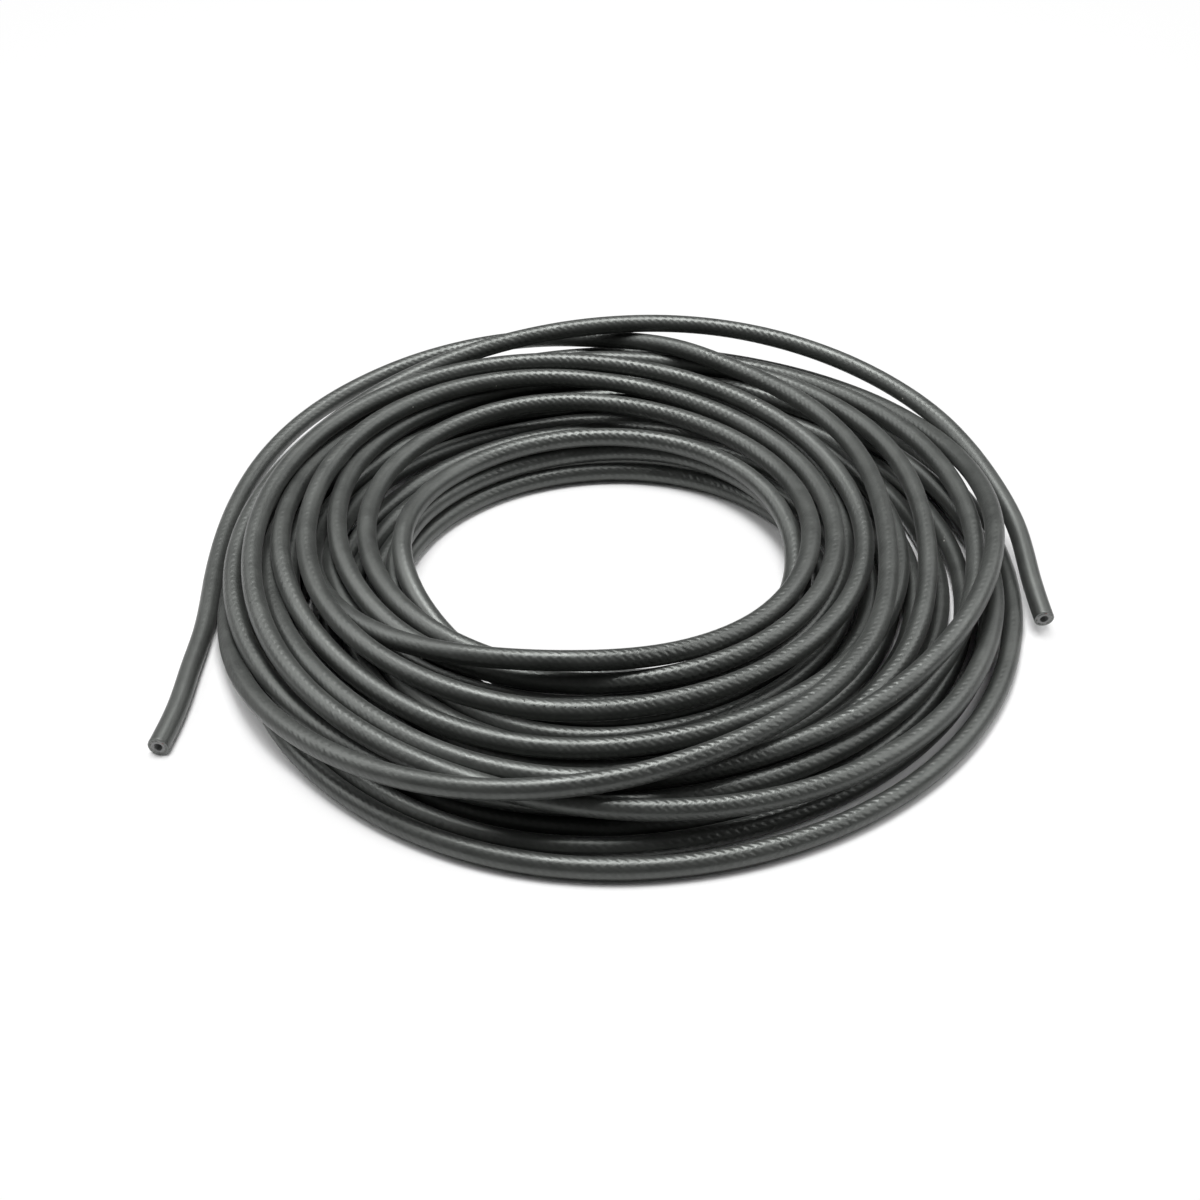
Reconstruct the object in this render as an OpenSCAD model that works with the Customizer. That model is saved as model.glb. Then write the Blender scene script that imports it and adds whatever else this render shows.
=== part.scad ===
// Soaker hose: one loose coil of small-bore braided rubber hose with two plain cut ends.
// Three layers run the whole length: inner tube, textile braid and outer cover.
// Frame: +Z up, origin on the floor under the middle of the coil.

/* [Hose section] */
// Bore of the inner tube
bore_d = 3; // [2:0.25:4]
// Wall of the inner tube
tube_wall = 1; // [0.6:0.1:1.5]
// Thickness of the textile braid
braid_t = 0.3; // [0.2:0.05:0.5]
// Wall of the outer cover
cover_wall = 0.7; // [0.4:0.1:1.2]

/* [Cut ends] */
// Depth of the true round bore at each cut end
ream_len = 20; // [10:1:25]

/* [Coil] */
// Free space that the settled strands keep between them
strand_gap = 0.3; // [0.1:0.1:1]
// Rise from one layer of strands to the next, in hose diameters
layer_rise = 0.87; // [0.8:0.01:1]

/* [Hidden] */

// Diameters of the three layers, each seated on the one inside it
tube_d = bore_d + 2 * tube_wall;
braid_d = tube_d + 2 * braid_t;
hose_d = braid_d + 2 * cover_wall;

// Sides of the inner round surfaces. The outer cover has twice as many outside.
core_sides = 5;
// The bore along the coil is this much under size, and the ends are reamed to the true bore
ream_step = 0.06;
// The reamer and the uncut hose start this far outside the cut face
overrun = 1;

// The turns, in laying order from the left cut end to the right one.
// Each row holds the radii of one turn at 0, 60 ... 300 degrees, clockwise from the left.
TURN_RADII = [
    [139, 156, 119,  94, 110, 137],
    [137, 138, 140, 138, 141, 141],
    [127, 129, 132, 130, 130, 135],
    [119, 120, 123, 122, 122, 125],
    [112, 112, 115, 114, 113, 117],
    [114, 119, 124, 131, 131, 125],
    [124, 120,  98,  86,  80,  95],
    [108, 114,  91,  76,  71,  77],
    [100, 119, 105,  80,  73,  82],
    [105, 103, 105, 105, 105, 108],
    [101,  96,  98,  97,  97, 101],
    [ 94,  88,  90,  89,  89,  94],
    [ 87,  79,  80,  81,  81,  87],
    [ 79,  68,  67,  70,  73,  80],
    [ 80,  72,  71,  67,  66,  73],
    [ 80,  74,  69,  65,  65,  71],
    [ 88, 102,  83,  67,  65,  81],
    [109, 107, 108, 100,  94, 107],
    [126, 130, 131, 110, 114, 119],
    [124, 134, 141, 129, 115, 123],
    [121, 129, 138, 126, 117, 124],
    [128, 129, 145, 143, 144, 144]];
// The layer of the heap that each of those places lies in, counted up from the floor
TURN_LAYERS = [
    [  1, 2.2, 3.5,   4,   4, 3.5],
    [  1,   1,   1,   1,   1,   1],
    [  1,   1,   1,   1,   1,   1],
    [  1,   1,   1,   1,   1,   1],
    [  1,   1,   1,   1,   1,   1],
    [  2,   2,   2,   2, 2.5,   3],
    [3.5,   4,   4,   3,   3, 3.5],
    [3.5, 3.5, 3.5, 3.5, 3.5,   3],
    [  3, 2.5, 2.5, 2.5, 2.5, 2.5],
    [  2,   1,   1,   1,   1,   1],
    [  1,   1,   1,   1,   1,   1],
    [  1,   1,   1,   1,   1,   1],
    [  1,   1,   1,   1,   1,   1],
    [  1,   1,   1,   1,   1,   1],
    [  2,   2,   2, 1.5,   1, 1.5],
    [  3,   3,   3, 2.5,   2, 2.5],
    [  3,   3,   3,   3,   3,   4],
    [  2,   2,   2,   2,   2,   2],
    [  3, 2.5, 2.5,   3, 2.5,   2],
    [  2,   2,   2, 3.7, 2.5, 2.5],
    [  2,   2, 2.5, 2.5,   2, 1.5],
    [  2, 4.6,   5,   3,   1,   1]];
// The loose tails, from the cut face inwards and from the coil outwards
LEFT_TAIL = [[-148, -89, 3.5], [-145, -69, 3.5], [-144, -50, 3.5], [-143, -34, 3.5], [-143, -17, 3.5]];
RIGHT_TAIL = [[139, 41, 15], [144, 18, 12], [145, -7, 9], [146.5, -27, 6.5]];

// Places in a row of the tables, and rings of the sweep in one turn
row_places = 6;
per_turn = 10;
// The last turn ends here, where the right tail leaves the coil
last_ring = (len(TURN_RADII) - 1) * per_turn + 4;

// Settling: the strands sink, push each other apart and stay near their chosen radius
pitch = hose_d + strand_gap;
settle_passes = 150;
free_passes = 40;
push_share = 0.4;
pull_share = 0.03;
sink_step = 0.06;
even_share = 0.15;

function flat(rows) = [for (row = rows) each row];
function at(list, i) = list[max(0, min(len(list) - 1, i))];
// The smooth value at ring i between the four nearest row places
function chosen(list, i) =
    let (x = i * row_places / per_turn, k = floor(x), t = x - k,
        a = at(list, k - 1), b = at(list, k), c = at(list, k + 1), d = at(list, k + 2))
    b + t / 2 * (c - a + t * (2 * a - 5 * b + 4 * c - d + t * (3 * b - a - 3 * c + d)));
function total(list) = [for (v = list) 1] * list;

radii = flat(TURN_RADII);
layers = flat(TURN_LAYERS);
laid = [for (i = [0:last_ring])
    [chosen(radii, i), hose_d / 2 + max(0, chosen(layers, i) - 1) * layer_rise * hose_d]];

// What the strands that cross the same spoke do to strand i: each one closer than pitch shoves it away
function shove(v) = let (g = norm(v)) g < pitch && g > 0 ? v * (pitch - g) / (2 * g) : [0, 0];
function crowd(p, i) = total([for (j = [i % per_turn : per_turn : len(p) - 1]) if (j != i) shove(p[i] - p[j])]);
function midpoints(p) = [for (i = [0:len(p) - 2]) (p[i] + p[i + 1]) / 2];
function crowds(p) = [for (i = [0:len(p) - 1]) crowd(p, i)];
function above_floor(p) = [for (v = p) [v[0], max(hose_d / 2, v[1])]];
function pushed(p) =
    let (own = crowds(p), mid = crowds(midpoints(p)))
    [for (i = [0:last_ring]) p[i] + push_share
        * (own[i] + (i < last_ring ? mid[i] : [0, 0]) + (i > 0 ? mid[i - 1] : [0, 0]))];
function sunk(p) = [for (i = [0:last_ring])
    [p[i][0] + pull_share * (laid[i][0] - p[i][0]), p[i][1] - sink_step]];
function evened(p) =
    let (d = p - laid)
    [for (i = [0:last_ring]) laid[i] + d[i]
        + (i > 0 && i < last_ring ? even_share * (d[i + 1] + d[i - 1] - 2 * d[i]) : [0, 0])];
function settle(p, n) = n == 0 ? p
    : settle(above_floor(n > free_passes ? evened(sunk(pushed(p))) : pushed(p)), n - 1);

settled = settle(laid, settle_passes);
coil = [for (i = [0:last_ring]) let (a = i * 360 / per_turn)
    [-settled[i][0] * cos(a), settled[i][0] * sin(a), settled[i][1]]];
path = concat(LEFT_TAIL, coil, RIGHT_TAIL);
last = len(path) - 1;

// The middle of the hose's outline, seen from above, becomes the origin
function unit(v) = v / norm(v);
function along(i) = unit(path[min(i + 1, last)] - path[max(i - 1, 0)]);
function reach(i, k) = hose_d / 2 * sqrt(1 - pow(along(i)[k], 2));
function middle(k) = (min([for (i = [0:last]) path[i][k] - reach(i, k)])
    + max([for (i = [0:last]) path[i][k] + reach(i, k)])) / 2;
centre = [middle(0), middle(1), 0];

// The hose before its ends are cut: the first and last ring lie outside the cut faces
function beyond(face, inner) = face + overrun * unit(face - inner);
uncut = [for (i = [0:last]) i == 0 ? beyond(path[0], path[1])
    : i == last ? beyond(path[last], path[last - 1]) : path[i]];

// One ring of points round the path, with a point at the bottom
function ring(i, r, n) =
    let (t = along(i), side = unit(cross([0, 0, 1], t)), rise = cross(t, side))
    [for (k = [0:n - 1]) let (a = 90 + k * 360 / n) uncut[i] - centre + r * (cos(a) * side - sin(a) * rise)];

// A hollow layer swept along the whole path. The outside has `ratio` sides for each one inside.
module swept_layer(outer_d, inner_d, ratio) {
    n = core_sides;
    m = core_sides * ratio;
    rings = last + 1;
    outside = [for (i = [0:last]) each ring(i, outer_d / 2, m)];
    inside = [for (i = [0:last]) each ring(i, inner_d / 2, n)];
    first_in = rings * m;
    function out_at(i, k) = i * m + k % m;
    function in_at(i, k) = first_in + i * n + k % n;
    // The fan on a cut face between one inner side and its outer sides
    function cap(i, k) = concat(
        [for (s = [0:ratio - 1]) [in_at(i, k), out_at(i, k * ratio + s), out_at(i, k * ratio + s + 1)]],
        [[in_at(i, k), out_at(i, (k + 1) * ratio), in_at(i, k + 1)]]);
    function turned(face) = [for (j = [len(face) - 1 : -1 : 0]) face[j]];
    faces = concat(
        [for (i = [0:last - 1], k = [0:m - 1])
            [out_at(i, k), out_at(i, k + 1), out_at(i + 1, k + 1), out_at(i + 1, k)]],
        [for (i = [0:last - 1], k = [0:n - 1])
            [in_at(i, k), in_at(i + 1, k), in_at(i + 1, k + 1), in_at(i, k + 1)]],
        [for (k = [0:n - 1]) each [for (f = cap(0, k)) turned(f)]],
        [for (k = [0:n - 1]) each cap(last, k)]);
    polyhedron(points = concat(outside, inside), faces = faces, convexity = 10);
}

// Puts a tool at both cut faces, with its z axis pointing into the hose
module at_cut_faces() {
    for (end = [[path[0], path[1]], [path[last], path[last - 1]]]) {
        dir = unit(end[1] - end[0]);
        translate(end[0] - centre) rotate([0, acos(dir[2]), atan2(dir[1], dir[0])]) children();
    }
}

// Everything outside a cut face
module offcut() {
    translate([-hose_d, -hose_d, -2 * hose_d]) cube(2 * hose_d);
}

module reamer() {
    translate([0, 0, -overrun]) cylinder(h = ream_len + overrun, d = bore_d, $fn = 48);
}

module inner_tube() {
    color([0.46, 0.46, 0.45])
        difference() {
            swept_layer(tube_d, bore_d - ream_step, 1);
            at_cut_faces() offcut();
            at_cut_faces() reamer();
        }
}

module braid() {
    color([0.72, 0.71, 0.68])
        difference() {
            swept_layer(braid_d, tube_d, 1);
            at_cut_faces() offcut();
        }
}

module outer_cover() {
    color([0.16, 0.17, 0.17])
        difference() {
            swept_layer(hose_d, braid_d, 2);
            at_cut_faces() offcut();
        }
}

inner_tube();
braid();
outer_cover();
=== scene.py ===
"""Looks of the soaker hose: one loose coil of braided rubber hose with two plain cut ends.

The route is the part's own: listed radii and layers for each turn, settled by the same rule.
Lengths are millimetres up to the meshes, which are metres in the row frame.
"""
import math
import bpy
import numpy as np
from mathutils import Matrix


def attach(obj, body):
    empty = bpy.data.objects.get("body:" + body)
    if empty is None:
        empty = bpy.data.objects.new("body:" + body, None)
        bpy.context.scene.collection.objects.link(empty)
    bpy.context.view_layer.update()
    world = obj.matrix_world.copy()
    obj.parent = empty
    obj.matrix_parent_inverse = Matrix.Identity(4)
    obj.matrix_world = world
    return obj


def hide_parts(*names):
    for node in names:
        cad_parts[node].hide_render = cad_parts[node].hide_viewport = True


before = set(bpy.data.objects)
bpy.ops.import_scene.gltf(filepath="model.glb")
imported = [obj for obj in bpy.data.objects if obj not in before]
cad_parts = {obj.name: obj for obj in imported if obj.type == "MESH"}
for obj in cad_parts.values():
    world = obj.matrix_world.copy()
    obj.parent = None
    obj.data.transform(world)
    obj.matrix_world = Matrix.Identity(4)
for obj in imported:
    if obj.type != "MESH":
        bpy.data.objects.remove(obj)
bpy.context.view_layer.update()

MM = 0.001

# Diameters of the hose's layers, as in the model's solids
BORE_D = 3.0
TUBE_D = 5.0
BRAID_D = 5.6
HOSE_D = 7.0

# ---------------------------------------------------------------- route
# Radii of each turn at 0, 60 ... 300 degrees, clockwise from the left, in laying order
TURN_RADII = [
    [139, 156, 119,  94, 110, 137],
    [137, 138, 140, 138, 141, 141],
    [127, 129, 132, 130, 130, 135],
    [119, 120, 123, 122, 122, 125],
    [112, 112, 115, 114, 113, 117],
    [114, 119, 124, 131, 131, 125],
    [124, 120,  98,  86,  80,  95],
    [108, 114,  91,  76,  71,  77],
    [100, 119, 105,  80,  73,  82],
    [105, 103, 105, 105, 105, 108],
    [101,  96,  98,  97,  97, 101],
    [ 94,  88,  90,  89,  89,  94],
    [ 87,  79,  80,  81,  81,  87],
    [ 79,  68,  67,  70,  73,  80],
    [ 80,  72,  71,  67,  66,  73],
    [ 80,  74,  69,  65,  65,  71],
    [ 88, 102,  83,  67,  65,  81],
    [109, 107, 108, 100,  94, 107],
    [126, 130, 131, 110, 114, 119],
    [124, 134, 141, 129, 115, 123],
    [121, 129, 138, 126, 117, 124],
    [128, 129, 145, 143, 144, 144]]
# The layer of the heap that each of those places lies in, counted up from the floor
TURN_LAYERS = [
    [  1, 2.2, 3.5,   4,   4, 3.5],
    [  1,   1,   1,   1,   1,   1],
    [  1,   1,   1,   1,   1,   1],
    [  1,   1,   1,   1,   1,   1],
    [  1,   1,   1,   1,   1,   1],
    [  2,   2,   2,   2, 2.5,   3],
    [3.5,   4,   4,   3,   3, 3.5],
    [3.5, 3.5, 3.5, 3.5, 3.5,   3],
    [  3, 2.5, 2.5, 2.5, 2.5, 2.5],
    [  2,   1,   1,   1,   1,   1],
    [  1,   1,   1,   1,   1,   1],
    [  1,   1,   1,   1,   1,   1],
    [  1,   1,   1,   1,   1,   1],
    [  1,   1,   1,   1,   1,   1],
    [  2,   2,   2, 1.5,   1, 1.5],
    [  3,   3,   3, 2.5,   2, 2.5],
    [  3,   3,   3,   3,   3,   4],
    [  2,   2,   2,   2,   2,   2],
    [  3, 2.5, 2.5,   3, 2.5,   2],
    [  2,   2,   2, 3.7, 2.5, 2.5],
    [  2,   2, 2.5, 2.5,   2, 1.5],
    [  2, 4.6,   5,   3,   1,   1]]
# The loose tails, from the cut face inwards and from the coil outwards
LEFT_TAIL = [[-148, -89, 3.5], [-145, -69, 3.5], [-144, -50, 3.5], [-143, -34, 3.5],
             [-143, -17, 3.5]]
RIGHT_TAIL = [[139, 41, 15], [144, 18, 12], [145, -7, 9], [146.5, -27, 6.5]]

# Row places and rings of the route in one turn; the last turn ends at its fourth ring
ROW_PLACES = 6
PER_TURN = 10
LAST_RING = (len(TURN_RADII) - 1) * PER_TURN + 4
# Rise of a layer in hose diameters, and the free space that settled strands keep
LAYER_RISE = 0.87
STRAND_GAP = 0.3
PITCH = HOSE_D + STRAND_GAP
# Settling: the strands sink, push each other apart and stay near their chosen radius.
# In the last, free passes they only push.
SETTLE_PASSES = 150
FREE_PASSES = 40
PUSH_SHARE = 0.4
PULL_SHARE = 0.03
SINK_STEP = 0.06
EVEN_SHARE = 0.15
# The least distance that a direction is worked out from
TOUCHING = 1e-6


def at_rings(rows):
    """The rows' values at every ring, on the smooth curve through the row places."""
    flat = np.array([value for row in rows for value in row], dtype=float)
    place = np.arange(LAST_RING + 1) * ROW_PLACES / PER_TURN
    start = np.floor(place).astype(int)
    share = place - start
    a, b, c, d = (flat[np.clip(start + step, 0, len(flat) - 1)] for step in (-1, 0, 1, 2))
    bend = 2 * a - 5 * b + 4 * c - d + share * (3 * b - a - 3 * c + d)
    return b + share / 2 * (c - a + share * bend)


def crowd(points):
    """How strands on the same spoke shove each other: each pair closer than PITCH moves apart."""
    gaps = points[:, None] - points[None]
    distance = np.maximum(np.linalg.norm(gaps, axis=-1), TOUCHING)
    overlap = np.clip(PITCH - distance, 0, None) / 2
    return (gaps / distance[..., None] * overlap[..., None]).sum(1)


def settled():
    """Radius and height of the coil at each ring, after the strands have settled."""
    layers = at_rings(TURN_LAYERS)
    rise = np.maximum(0, layers - 1) * LAYER_RISE * HOSE_D
    laid = np.column_stack([at_rings(TURN_RADII), HOSE_D / 2 + rise])
    places = laid.copy()
    for n in range(SETTLE_PASSES, 0, -1):
        push = np.zeros_like(places)
        middles = (places[:-1] + places[1:]) / 2
        for spoke in range(PER_TURN):
            own = slice(spoke, None, PER_TURN)
            push[own] += crowd(places[own])
            halfway = crowd(middles[own])
            push[:-1][own] += halfway
            push[1:][own] += halfway
        places = places + PUSH_SHARE * push
        if n > FREE_PASSES:
            places[:, 0] += PULL_SHARE * (laid[:, 0] - places[:, 0])
            places[:, 1] -= SINK_STEP
            moved = places - laid
            evened = moved.copy()
            evened[1:-1] += EVEN_SHARE * (moved[2:] + moved[:-2] - 2 * moved[1:-1])
            places = laid + evened
        places[:, 1] = np.maximum(places[:, 1], HOSE_D / 2)
    return places


def unit(v):
    return v / np.linalg.norm(v, axis=-1, keepdims=True)


def chords(points):
    """The direction at each point: from the one before it to the one after it."""
    ahead = np.vstack([points[1:], points[-1:]])
    behind = np.vstack([points[:1], points[:-1]])
    return unit(ahead - behind)


def distances(points):
    """How far along the line each point lies."""
    return np.append(0, np.cumsum(np.linalg.norm(np.diff(points, axis=0), axis=1)))


def route():
    """The hose's points in millimetres round the middle of its outline, and that middle."""
    places = settled()
    radius, height = places.T
    angle = np.radians(np.arange(len(places)) * 360 / PER_TURN)
    coil = np.column_stack([-radius * np.cos(angle), radius * np.sin(angle), height])
    points = np.vstack([LEFT_TAIL, coil, RIGHT_TAIL])
    reach = HOSE_D / 2 * np.sqrt(1 - chords(points)[:, :2] ** 2)
    low = (points[:, :2] - reach).min(0)
    high = (points[:, :2] + reach).max(0)
    centre = np.append((low + high) / 2, 0)
    return points - centre, centre


# The spline is first drawn this many times finer than the rings
FINER = 4


def smooth(points, step):
    """Points every step along the natural cubic spline through points."""
    knots = distances(points)
    h = np.diff(knots)
    n = len(points)
    system = np.eye(n)
    slopes = np.diff(points, axis=0) / h[:, None]
    right = np.zeros((n, 3))
    for i in range(1, n - 1):
        system[i, i - 1:i + 2] = h[i - 1], 2 * (h[i - 1] + h[i]), h[i]
        right[i] = 6 * (slopes[i] - slopes[i - 1])
    bend = np.linalg.solve(system, right)
    fine = np.linspace(0, knots[-1], int(knots[-1] / step * FINER))
    i = np.clip(np.searchsorted(knots, fine, side="right") - 1, 0, n - 2)
    a = ((knots[i + 1] - fine) / h[i])[:, None]
    b = 1 - a
    curve = (a * points[i] + b * points[i + 1]
             + ((a ** 3 - a) * bend[i] + (b ** 3 - b) * bend[i + 1]) * h[i][:, None] ** 2 / 6)
    along = distances(curve)
    even = np.linspace(0, along[-1], int(round(along[-1] / step)) + 1)
    return np.column_stack([np.interp(even, along, curve[:, k]) for k in range(3)])


# Easing of the smooth line: strands that still cross too near are bent apart over a short stretch.
# Reach and own stretch count points of the line. Strands further apart than the watch never meet.
EASE_PASSES = 60
EASE_REACH = 8
EASE_GAIN = 1.6
EASE_WATCH = 3.0
OWN_STRETCH = 8


def eased(line):
    """The smooth line with no two strands standing in each other or in the floor."""
    first, second = [], []
    for i in range(len(line) - OWN_STRETCH):
        gap = np.linalg.norm(line[i + OWN_STRETCH:] - line[i], axis=1)
        near = np.nonzero(gap < HOSE_D + EASE_WATCH)[0] + i + OWN_STRETCH
        first.append(np.full(len(near), i))
        second.append(near)
    first, second = np.concatenate(first), np.concatenate(second)
    window = np.hanning(2 * EASE_REACH + 3)[1:-1]
    window *= EASE_GAIN / window.sum()
    for _ in range(EASE_PASSES):
        gaps = line[first] - line[second]
        distance = np.maximum(np.linalg.norm(gaps, axis=1), TOUCHING)
        overlap = np.clip(HOSE_D - distance, 0, None)
        push = gaps / distance[:, None] * overlap[:, None] / 2
        move = np.zeros_like(line)
        hits = np.zeros(len(line))
        for at, share in ((first, push), (second, -push)):
            np.add.at(move, at, share)
            np.add.at(hits, at, overlap > 0)
        move /= np.maximum(hits, 1)[:, None]
        move = np.column_stack([np.convolve(move[:, k], window, "same") for k in range(3)])
        move[:EASE_REACH] = 0
        move[-EASE_REACH:] = 0
        line = line + move
        line[:, 2] = np.maximum(line[:, 2], HOSE_D / 2)
    return line


# ---------------------------------------------------------------- camera
# Place and lens that give the photographed view, in the route's own millimetres
CAMERA_AT = np.array([-6.43, -553.86, 428.07])
CAMERA_PITCH = 51.891
CAMERA_LENS = 58.8
SENSOR = 36.0
NEAREST_SEEN = 10.0

points, centre = route()

camera = bpy.data.objects.new("camera", bpy.data.cameras.new("camera"))
camera.location = (CAMERA_AT - centre) * MM
camera.rotation_euler = (math.radians(CAMERA_PITCH), 0, 0)
camera.data.lens = CAMERA_LENS
camera.data.sensor_width = SENSOR
camera.data.clip_start = NEAREST_SEEN * MM
bpy.context.scene.collection.objects.link(camera)
bpy.context.scene.camera = camera

# ---------------------------------------------------------------- hose meshes
RING_STEP = 4.0
SIDES = 18
# The layers inside take every second ring
CORE_STRIDE = 2
# Rounding of the cut edges, and the ring behind it that keeps its shading short
EDGE_ROUND = 0.12
EDGE_END = 0.5
# The outside swells and thins a little along the hose: share of the radius, wave length and phase
SWELLS = ((0.009, 190.0, 0.0), (0.006, 83.0, 1.3), (0.004, 41.0, 2.1))

line = eased(smooth(points, RING_STEP))
along = distances(line)
tangent = chords(line)
side = unit(np.cross([0, 0, 1], tangent))
rise = np.cross(tangent, side)
swell = 1 + sum(share * np.sin(2 * math.pi * along / length + phase)
                for share, length, phase in SWELLS)


def ring_points(i, radius):
    """One ring of points round the route at index i, starting at the bottom."""
    a = np.radians(90 + np.arange(SIDES) * 360 / SIDES)[:, None]
    return line[i] + radius * (np.cos(a) * side[i] - np.sin(a) * rise[i])


def stops(stride):
    """Every stride-th place on the line, and the last one."""
    places = list(range(0, len(line), stride))
    return places if places[-1] == len(line) - 1 else places + [len(line) - 1]


def insets(i):
    """How far forward of point i its rings stand: two rings at each end, and one elsewhere."""
    if i == 0:
        return EDGE_ROUND, EDGE_END
    if i == len(line) - 1:
        return -EDGE_END, -EDGE_ROUND
    return (0,)


def layer_shape(outer_d, inner_d, stride, swelling):
    """A hollow layer of the hose, closed by its two cut faces. UVs: once round, metres along."""
    last = len(line) - 1
    r_out, r_in = outer_d / 2, inner_d / 2
    rings = [ring_points(0, r_out - EDGE_ROUND)]
    metres = [0.0]
    for i in stops(stride):
        ring = ring_points(i, r_out * (swell[i] if swelling else 1))
        for inset in insets(i):
            rings.append(ring + tangent[i] * inset)
            metres.append((along[i] + inset) * MM)
    rings.append(ring_points(last, r_out - EDGE_ROUND))
    metres.append(along[-1] * MM)
    far_face = len(rings) - 1
    for i in reversed(stops(2 * stride)):
        rings.append(ring_points(i, r_in))
        metres.append(along[i] * MM)
    count = len(rings)
    faces = []
    uvs = []
    for p in range(count):
        q = (p + 1) % count
        for k in range(SIDES):
            j = (k + 1) % SIDES
            faces.append((p * SIDES + k, p * SIDES + j, q * SIDES + j, q * SIDES + k))
            u0, u1 = k / SIDES, (k + 1) / SIDES
            uvs.extend([(u0, metres[p]), (u1, metres[p]), (u1, metres[q]), (u0, metres[q])])
    # the two cut faces are flat: between the outer edge and the bore side
    flat = [f // SIDES in (count - 1, far_face) for f in range(len(faces))]
    return np.vstack(rings), faces, uvs, flat


# The cut yarns: low domes in pairs, one yarn from each direction of the braid.
# Pairs stand closer by the lean, a share of the spacing, and off the braid's middle by the stagger.
YARNS = 24
YARN_R = 0.17
YARN_OUT = 0.07
YARN_SIDES = 8
YARN_LEAN = 0.12
YARN_STAGGER = 0.05
# Radius and height of a dome's two rings, as shares of its own
DOME_RINGS = ((1.0, -0.5), (0.75, 0.7))


def yarn_ends(verts, faces, uvs, flat):
    """Adds the cut yarns to the braid's shape: a ring of low domes on each cut face."""
    verts = list(verts)
    for i, facing in ((0, -1), (len(line) - 1, 1)):
        out = facing * tangent[i]
        for n in range(YARNS):
            partner = 1 if n % 2 else -1
            a = 2 * math.pi * (n + partner * YARN_LEAN) / YARNS
            spoke = math.cos(a) * side[i] + math.sin(a) * rise[i]
            round_way = np.cross(out, spoke)
            middle = line[i] + spoke * ((BRAID_D + TUBE_D) / 4 + partner * YARN_STAGGER)
            first = len(verts)
            for radius, height in DOME_RINGS:
                for k in range(YARN_SIDES):
                    b = 2 * math.pi * k / YARN_SIDES
                    rim = math.cos(b) * spoke + math.sin(b) * round_way
                    verts.append(middle + YARN_R * radius * rim + out * YARN_OUT * height)
            verts.append(middle + out * YARN_OUT)
            top = len(verts) - 1
            for k in range(YARN_SIDES):
                j = (k + 1) % YARN_SIDES
                faces.append((first + k, first + j, first + YARN_SIDES + j, first + YARN_SIDES + k))
                faces.append((first + YARN_SIDES + k, first + YARN_SIDES + j, top))
                uvs.extend([(0.5, along[i] * MM)] * 7)
                flat.extend([False, False])
    return np.array(verts), faces, uvs, flat


def piece_from(name, shape):
    verts, faces, uvs, flat = shape
    mesh = bpy.data.meshes.new(name)
    mesh.from_pydata((verts * MM).tolist(), [], faces)
    layer = mesh.uv_layers.new(name="hose")
    layer.data.foreach_set("uv", np.array(uvs, dtype=np.float32).ravel())
    mesh.polygons.foreach_set("use_smooth", [not f for f in flat])
    mesh.update()
    piece = bpy.data.objects.new(name, mesh)
    bpy.context.scene.collection.objects.link(piece)
    return piece


cover = piece_from("cover_skin", layer_shape(HOSE_D, BRAID_D, 1, True))
braid = piece_from("braid_sleeve", yarn_ends(*layer_shape(BRAID_D, TUBE_D, CORE_STRIDE, False)))
tube = piece_from("tube_wall", layer_shape(TUBE_D, BORE_D, CORE_STRIDE, False))

for piece, node, slot in (
        (cover, "outer_cover", "cover_rubber"),
        (braid, "braid", "braid_yarn"),
        (tube, "inner_tube", "tube_rubber")):
    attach(piece, "root")
    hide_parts(node)


# ---------------------------------------------------------------- materials
class Graph:
    """A short way to write a material's nodes."""

    def __init__(self, name):
        self.material = bpy.data.materials.new(name)
        self.material.use_nodes = True
        self.tree = self.material.node_tree
        self.shader = self.tree.nodes["Principled BSDF"]

    def add(self, kind, inputs=(), **settings):
        node = self.tree.nodes.new(kind)
        for key, value in settings.items():
            setattr(node, key, value)
        for key, value in dict(inputs).items():
            self.join(value, node.inputs[key])
        return node

    def join(self, value, socket):
        if isinstance(value, bpy.types.NodeSocket):
            self.tree.links.new(value, socket)
        else:
            socket.default_value = value

    def math(self, operation, *values, clamp=False):
        node = self.add("ShaderNodeMath", enumerate(values), operation=operation, use_clamp=clamp)
        return node.outputs[0]

    def noise(self, vector, scale, detail=2.0, rough=0.5):
        node = self.add("ShaderNodeTexNoise", {"Vector": vector, "Scale": scale, "Detail": detail,
                                               "Roughness": rough})
        return node.outputs["Fac"]

    def spread(self, value, low, high, to_low, to_high):
        """Maps low ... high onto to_low ... to_high, and holds the ends."""
        node = self.add("ShaderNodeMapRange", {"Value": value, "From Min": low, "From Max": high,
                                               "To Min": to_low, "To Max": to_high}, clamp=True)
        return node.outputs["Result"]

    def blend(self, share, first, second):
        node = self.add("ShaderNodeMix", {0: share, 6: first, 7: second}, data_type="RGBA")
        return node.outputs[2]


# The braid's print in the cover: yarns each way, pitch, strength of the yarns that lean back, depth
CARRIERS = 8
BRAID_PITCH = 2.9 * MM
SECOND_FAMILY = 0.4
RELIEF = 0.17 * MM
# How far the yarns stray from their places
YARN_STRAY = 1.4 * MM
# The print's strength in long and short stretches: from two values of the noise to two strengths
STRETCH_PRINT = (0.38, 0.62, 0.55, 1.0)
UNEVEN_PRINT = (0.3, 0.6, 0.45, 1.0)
# Its strength at the cut ends and along the coil's sides, and where it gets there
END_PRINT = 0.2
END_STRETCH = (0.02, 0.12)
SIDE_PRINT = 0.35
SIDE_SHARE = (0.25, 0.7)
# Heights of the grain and the pin pricks, as shares of the print's
GRAIN = 0.2
PRICK_DEPTH = -1.5
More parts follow.
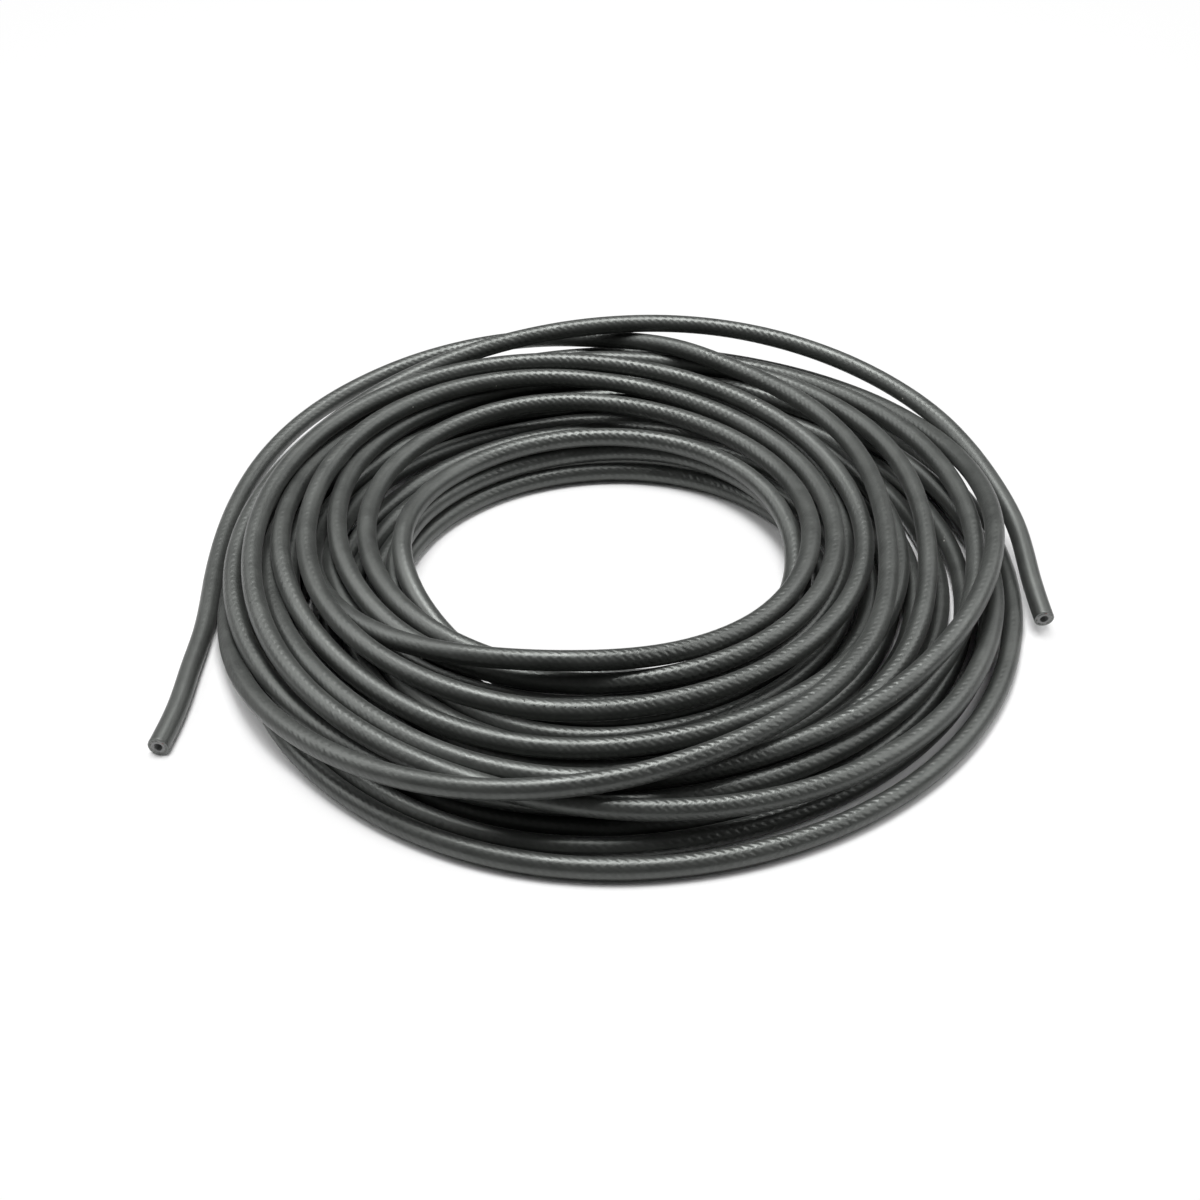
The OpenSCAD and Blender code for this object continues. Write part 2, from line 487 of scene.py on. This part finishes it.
# Scales of the noise in the cover, per metre
STRAY_SCALE = 160.0
STRETCH_SCALE = 17.0
UNEVEN_SCALE = 260.0
GRAIN_SCALE = 2200.0
MOTTLE_SCALE = 90.0
SPECK_SCALE = 260.0
GLOSS_SCALE = 140.0
# The part of a noise that is spread over a material's range
NOISE_SPAN = (0.3, 0.7)
# How much the mottle and the print lighten the cover
MOTTLE = 0.8
PRINT_TONE = 0.2
# The soft edge of a dust speck, and the share of cells that have none
SPECK_EDGE = (0.05, 0.09)
SPECK_FROM = 0.985
COVER_DARK = (0.020, 0.0214, 0.0202, 1)
COVER_LIGHT = (0.044, 0.0465, 0.0435, 1)
DUST = (0.55, 0.54, 0.50, 1)
# Near-black of the pin pricks: painted shade inside holes that have only a bump for depth
PRICK_PAINTED_SHADE = (0.004, 0.004, 0.004, 1)
# The cut face of the cover, and how far along the hose it counts as cut
FRESH_CUT = (0.14, 0.146, 0.142, 1)
CUT_DEPTH = 0.06 * MM
ROUGHNESS = (0.38, 0.48)
GLOSS = 1.0
GLOSS_TINT = (0.96, 1.0, 0.96, 1)
# The thin bloom on the rubber, which shows at the edges
BLOOM = 0.08
BLOOM_ROUGHNESS = 0.35
# The row of pin pricks in the cover: pitch, radius, and the soft edge as shares of that radius
PRICK_PITCH = 3.2 * MM
PRICK_R = 0.22 * MM
PRICK_EDGE = (0.6, 1.3)
# Its place round the hose: up and outwards in the stretches, and under the hose elsewhere.
# A stretch is its middle and half its length, in metres along the hose.
PRICK_UP = 0.58
PRICK_UNDER = 0.08
PRICK_STRETCHES = ((6.544, 0.022), (5.358, 0.012))


def braid_relief(g, around, forward):
    """Height of the braid's print through the skin: two yarn families that pass over and under."""
    turns = g.math("MULTIPLY", around, float(CARRIERS))
    steps = g.math("DIVIDE", forward, BRAID_PITCH)
    left = g.math("ADD", turns, steps)
    right = g.math("SUBTRACT", turns, steps)

    def wave(x, share):
        return g.math("COSINE", g.math("MULTIPLY", x, share * math.pi))

    def ridge(x):
        return g.math("MULTIPLY_ADD", wave(x, 2), 0.5, 0.5)

    over = g.math("MULTIPLY_ADD", g.math("MULTIPLY", wave(left, 1), wave(right, 1)), 0.5, 0.5)
    under = g.math("MULTIPLY", g.math("SUBTRACT", 1.0, over), SECOND_FAMILY)
    left_ridge = g.math("MULTIPLY", ridge(left), over)
    right_ridge = g.math("MULTIPLY", ridge(right), under)
    return g.math("ADD", left_ridge, right_ridge)


def pricks(g, around, forward):
    """One where a pin has pricked the cover: a row of holes, turned up only in some stretches."""
    facing = 0.0
    for middle, half in PRICK_STRETCHES:
        away = g.math("ABSOLUTE", g.math("SUBTRACT", forward, middle))
        facing = g.math("ADD", facing, g.spread(away, half, half * 2, 1.0, 0.0))
    row = g.spread(facing, 0.0, 1.0, PRICK_UNDER, PRICK_UP)
    across = g.math("MULTIPLY", g.math("SUBTRACT", around, row), math.pi * HOSE_D * MM)
    step = g.math("FRACT", g.math("DIVIDE", forward, PRICK_PITCH))
    ahead = g.math("MULTIPLY", g.math("SUBTRACT", step, 0.5), PRICK_PITCH)
    far = g.math("SQRT", g.math("ADD", g.math("POWER", across, 2.0), g.math("POWER", ahead, 2.0)))
    inner, outer = (PRICK_R * share for share in PRICK_EDGE)
    return g.spread(far, inner, outer, 1.0, 0.0)


def cover_rubber():
    g = Graph("cover_rubber")
    uv = g.add("ShaderNodeUVMap", uv_map="hose").outputs["UV"]
    parts = g.add("ShaderNodeSeparateXYZ", {"Vector": uv})
    around, forward = parts.outputs["X"], parts.outputs["Y"]
    place = g.add("ShaderNodeTexCoord").outputs["Object"]
    hole = pricks(g, around, forward)
    # the yarns don't lie quite even
    stray = g.math("SUBTRACT", g.noise(place, STRAY_SCALE, 1.0), 0.5)
    wander = g.math("MULTIPLY", stray, YARN_STRAY)
    relief = braid_relief(g, around, g.math("ADD", forward, wander))
    # the print is strong in some stretches and faint in others
    stretch = g.spread(g.noise(place, STRETCH_SCALE, 1.0), *STRETCH_PRINT)
    # it is hardly there near the cut ends
    from_end = g.math("MINIMUM", forward, g.math("SUBTRACT", along[-1] * MM, forward))
    stretch = g.math("MULTIPLY", stretch, g.spread(from_end, *END_STRETCH, END_PRINT, 1.0))
    # and it is faint where the hose runs along the coil's two sides
    spot = g.add("ShaderNodeSeparateXYZ", {"Vector": place}).outputs
    sideways, lengthways = g.math("ABSOLUTE", spot["X"]), g.math("ABSOLUTE", spot["Y"])
    beside = g.math("DIVIDE", sideways, g.math("ADD", sideways, lengthways))
    stretch = g.math("MULTIPLY", stretch, g.spread(beside, *SIDE_SHARE, 1.0, SIDE_PRINT))
    uneven = g.spread(g.noise(place, UNEVEN_SCALE, 1.0), *UNEVEN_PRINT)
    height = g.math("MULTIPLY", relief, g.math("MULTIPLY", stretch, uneven))
    grain = g.noise(place, GRAIN_SCALE, 3.0, 0.6)
    height = g.math("MULTIPLY_ADD", grain, GRAIN, height)
    height = g.math("MULTIPLY_ADD", hole, PRICK_DEPTH, height)
    bump = g.add("ShaderNodeBump", {"Height": height, "Strength": 1.0, "Distance": RELIEF})
    g.join(bump.outputs["Normal"], g.shader.inputs["Normal"])

    mottle = g.spread(g.noise(place, MOTTLE_SCALE, 4.0, 0.6), *NOISE_SPAN, 0.0, MOTTLE)
    tone = g.math("MULTIPLY_ADD", relief, PRINT_TONE, mottle, clamp=True)
    rubber = g.blend(tone, COVER_DARK, COVER_LIGHT)
    cells = g.add("ShaderNodeTexVoronoi", {"Vector": place, "Scale": SPECK_SCALE})
    near = g.spread(cells.outputs["Distance"], *SPECK_EDGE, 1.0, 0.0)
    pick = g.add("ShaderNodeSeparateColor", {"Color": cells.outputs["Color"]}).outputs[0]
    speck = g.math("MULTIPLY", near, g.math("GREATER_THAN", pick, SPECK_FROM))
    dusty = g.blend(speck, rubber, DUST)
    dusty = g.blend(g.math("LESS_THAN", from_end, CUT_DEPTH), dusty, FRESH_CUT)
    # the pin pricks are painted near-black: painted shade in the holes
    g.join(g.blend(hole, dusty, PRICK_PAINTED_SHADE), g.shader.inputs["Base Color"])
    rough = g.spread(g.noise(place, GLOSS_SCALE, 3.0), *NOISE_SPAN, *ROUGHNESS)
    g.join(rough, g.shader.inputs["Roughness"])
    g.shader.inputs["Specular IOR Level"].default_value = GLOSS
    g.shader.inputs["Specular Tint"].default_value = GLOSS_TINT
    g.shader.inputs["Sheen Weight"].default_value = BLOOM
    g.shader.inputs["Sheen Roughness"].default_value = BLOOM_ROUGHNESS
    return g.material


# The tube's cut rubber: colours, scales of grain and gloss, the grain's span and depth, roughness
TUBE_DARK = (0.18, 0.185, 0.185, 1)
TUBE_LIGHT = (0.32, 0.325, 0.32, 1)
FILLER_SCALE = 3200.0
CUT_GLOSS_SCALE = 900.0
FILLER_SPAN = (0.35, 0.65)
FILLER_DEPTH = 0.06 * MM
CUT_ROUGHNESS = (0.5, 0.65)


def cut_rubber(name, dark, light):
    """A knife-cut rubber face: matte, with fine filler grain."""
    g = Graph(name)
    place = g.add("ShaderNodeTexCoord").outputs["Object"]
    grain = g.noise(place, FILLER_SCALE, 4.0, 0.65)
    shade = g.spread(grain, *FILLER_SPAN, 0.0, 1.0)
    g.join(g.blend(shade, dark, light), g.shader.inputs["Base Color"])
    bump = g.add("ShaderNodeBump", {"Height": grain, "Strength": 0.6, "Distance": FILLER_DEPTH})
    g.join(bump.outputs["Normal"], g.shader.inputs["Normal"])
    rough = g.spread(g.noise(place, CUT_GLOSS_SCALE, 2.0), *NOISE_SPAN, *CUT_ROUGHNESS)
    g.join(rough, g.shader.inputs["Roughness"])
    return g.material


YARN_DARK = (0.03, 0.03, 0.03, 1)
YARN_PALE = (0.48, 0.48, 0.46, 1)
YARN_RED = (0.20, 0.05, 0.05, 1)
# The yarn's fibres: scale per metre, depth, which are reddish, and roughness
FIBRE_SCALE = 1300.0
FIBRE_DEPTH = 0.1 * MM
RED_FROM = 0.95
YARN_ROUGHNESS = (0.6, 0.8)


def yarn():
    """The braid's textile ends: pale and dark yarn cut across, with a stray reddish one."""
    g = Graph("braid_yarn")
    place = g.add("ShaderNodeTexCoord").outputs["Object"]
    cells = g.add("ShaderNodeTexVoronoi", {"Vector": place, "Scale": FIBRE_SCALE})
    pick = g.add("ShaderNodeSeparateColor", {"Color": cells.outputs["Color"]}).outputs
    plain = g.blend(pick[0], YARN_DARK, YARN_PALE)
    red = g.math("GREATER_THAN", pick[1], RED_FROM)
    g.join(g.blend(red, plain, YARN_RED), g.shader.inputs["Base Color"])
    bump = g.add("ShaderNodeBump", {"Height": cells.outputs["Distance"], "Strength": 0.8,
                                    "Distance": FIBRE_DEPTH}, invert=True)
    g.join(bump.outputs["Normal"], g.shader.inputs["Normal"])
    g.join(g.spread(pick[0], 0.0, 1.0, *YARN_ROUGHNESS), g.shader.inputs["Roughness"])
    return g.material


cover.data.materials.append(cover_rubber())
braid.data.materials.append(yarn())
tube.data.materials.append(cut_rubber("tube_rubber", TUBE_DARK, TUBE_LIGHT))

# ---------------------------------------------------------------- stage and light
FLOOR_SIZE = 6.0
WHITE = (1, 1, 1, 1)
FLOOR_COLOR = (0.86, 0.86, 0.86, 1)
# Share of plain white in what looks straight at open floor: the rest keeps the shadow
FLOOR_WHITE = 0.93
# How far the strands beside it shade the floor, and the open shares where the white starts and ends
SHADE_REACH = 0.012
SHADE_SPAN = (0.5, 0.8)
SHADE_SAMPLES = 8


def floor_material():
    """White floor: plain white to what looks straight at it, with part of its shadow kept."""
    g = Graph("floor_white")
    g.tree.nodes.remove(g.shader)
    shaded = g.add("ShaderNodeBsdfDiffuse", {"Color": FLOOR_COLOR}).outputs[0]
    white = g.add("ShaderNodeEmission", {"Color": WHITE, "Strength": 1.0}).outputs[0]
    rays = g.add("ShaderNodeLightPath").outputs
    seen = g.math("ADD", rays["Is Camera Ray"], rays["Is Glossy Ray"], clamp=True)
    # the narrow gaps between strands stay dark
    shade = g.add("ShaderNodeAmbientOcclusion", {"Distance": SHADE_REACH}, samples=SHADE_SAMPLES)
    white_share = g.spread(shade.outputs["AO"], *SHADE_SPAN, 0.0, FLOOR_WHITE)
    share = g.math("MULTIPLY", seen, white_share)
    mixed = g.add("ShaderNodeMixShader", {0: share, 1: shaded, 2: white}).outputs[0]
    g.join(mixed, g.tree.nodes["Material Output"].inputs["Surface"])
    return g.material


def floor():
    half = FLOOR_SIZE / 2
    corners = [(-half, -half, 0), (half, -half, 0), (half, half, 0), (-half, half, 0)]
    mesh = bpy.data.meshes.new("floor")
    mesh.from_pydata(corners, [], [(0, 1, 2, 3)])
    mesh.materials.append(floor_material())
    piece = bpy.data.objects.new("floor", mesh)
    bpy.context.scene.collection.objects.link(piece)


def softbox(name, place, target, width, depth, watts, spread):
    """An area lamp aimed at target. The spread, in degrees, is how wide its light fans out."""
    lamp = bpy.data.lights.new(name, "AREA")
    lamp.shape = "RECTANGLE"
    lamp.size = width
    lamp.size_y = depth
    lamp.energy = watts
    lamp.spread = math.radians(spread)
    piece = bpy.data.objects.new(name, lamp)
    piece.location = place
    aim = np.array(target) - np.array(place)
    flat = math.hypot(aim[0], aim[1])
    piece.rotation_euler = (math.atan2(flat, -aim[2]), 0, math.atan2(aim[1], aim[0]) - math.pi / 2)
    bpy.context.scene.collection.objects.link(piece)


# One large soft lamp behind and above, and a faint one from each side: name, place, target, width,
# depth, watts and spread
SOFTBOXES = (
    ("key", (-0.05, 0.28, 1.15), (0, 0, 0), 0.6, 0.55, 17, 180),
    ("left", (-0.45, 0.12, 0.36), (-0.13, 0.02, 0), 0.9, 0.35, 0.6, 75),
    ("right", (0.45, 0.12, 0.36), (0.13, 0.02, 0), 0.9, 0.35, 0.6, 75))

floor()
for box in SOFTBOXES:
    softbox(*box)

# The world lights softly, and is white to the camera behind the floor's edge
WORLD_LIGHT = 0.06

world = bpy.data.worlds.new("studio")
world.use_nodes = True
sky = world.node_tree.nodes["Background"]
sky.inputs["Color"].default_value = WHITE
world_rays = world.node_tree.nodes.new("ShaderNodeLightPath")
strength = world.node_tree.nodes.new("ShaderNodeMath")
strength.operation = "MULTIPLY_ADD"
strength.inputs[1].default_value = 1 - WORLD_LIGHT
strength.inputs[2].default_value = WORLD_LIGHT
world.node_tree.links.new(world_rays.outputs["Is Camera Ray"], strength.inputs[0])
world.node_tree.links.new(strength.outputs[0], sky.inputs["Strength"])
bpy.context.scene.world = world
bpy.context.scene.view_settings.view_transform = "Standard"
